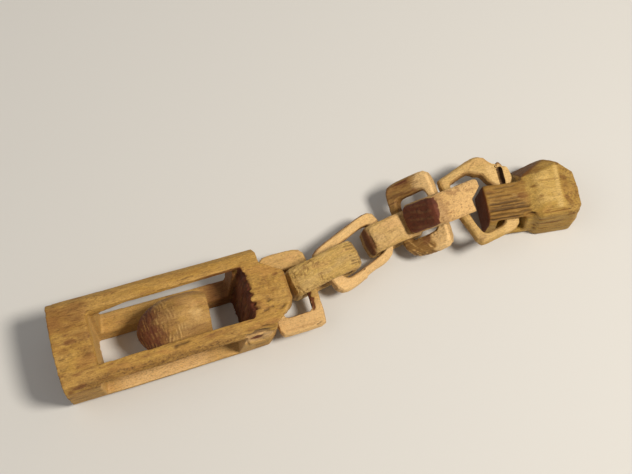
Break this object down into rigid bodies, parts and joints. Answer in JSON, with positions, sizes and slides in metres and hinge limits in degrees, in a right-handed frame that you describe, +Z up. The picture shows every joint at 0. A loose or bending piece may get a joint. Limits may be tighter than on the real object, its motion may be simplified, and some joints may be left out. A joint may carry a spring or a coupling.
{
  "type": "whimsy carved chain",
  "caption": "Whittled wooden whimsy: a loose ball caged in one end, then a chain of carved links lying slack, ending in a faceted knob.",
  "frame": {"origin": "middle of the footprint, on the surface it lies on", "axes": "+X along the chain from the cage to the knob, +Y away from the viewer's side, +Z up"},
  "size_m": [0.245, 0.0542, 0.0395],
  "materials": {
    "cage_wood": "bare weathered top with brown stains, fresh knife cuts paler",
    "ball_wood": "bare, with curved rasp marks at the domed end",
    "knob_wood": "bare weathered wood with deep grooves along the grain",
    "link_1_wood": "bare knife-cut wood, darker at its end grain",
    "link_2_wood": "bare knife-cut wood, darker at its end grain",
    "link_3_wood": "bare knife-cut wood, darker at its end grain",
    "link_4_wood": "bare knife-cut wood, darker at its end grain",
    "link_5_wood": "bare knife-cut wood, darker at its end grain",
    "link_6_wood": "bare knife-cut wood, darker at its end grain",
    "link_7_wood": "bare knife-cut wood, darker at its end grain"
  },
  "bodies": {
    "root": {"cage": "cage_wood", "captive_ball": "ball_wood", "knob": "knob_wood", "link_1": "link_1_wood", "link_2": "link_2_wood", "link_3": "link_3_wood", "link_4": "link_4_wood", "link_5": "link_5_wood", "link_6": "link_6_wood", "link_7": "link_7_wood"}
  },
  "joints": []
}
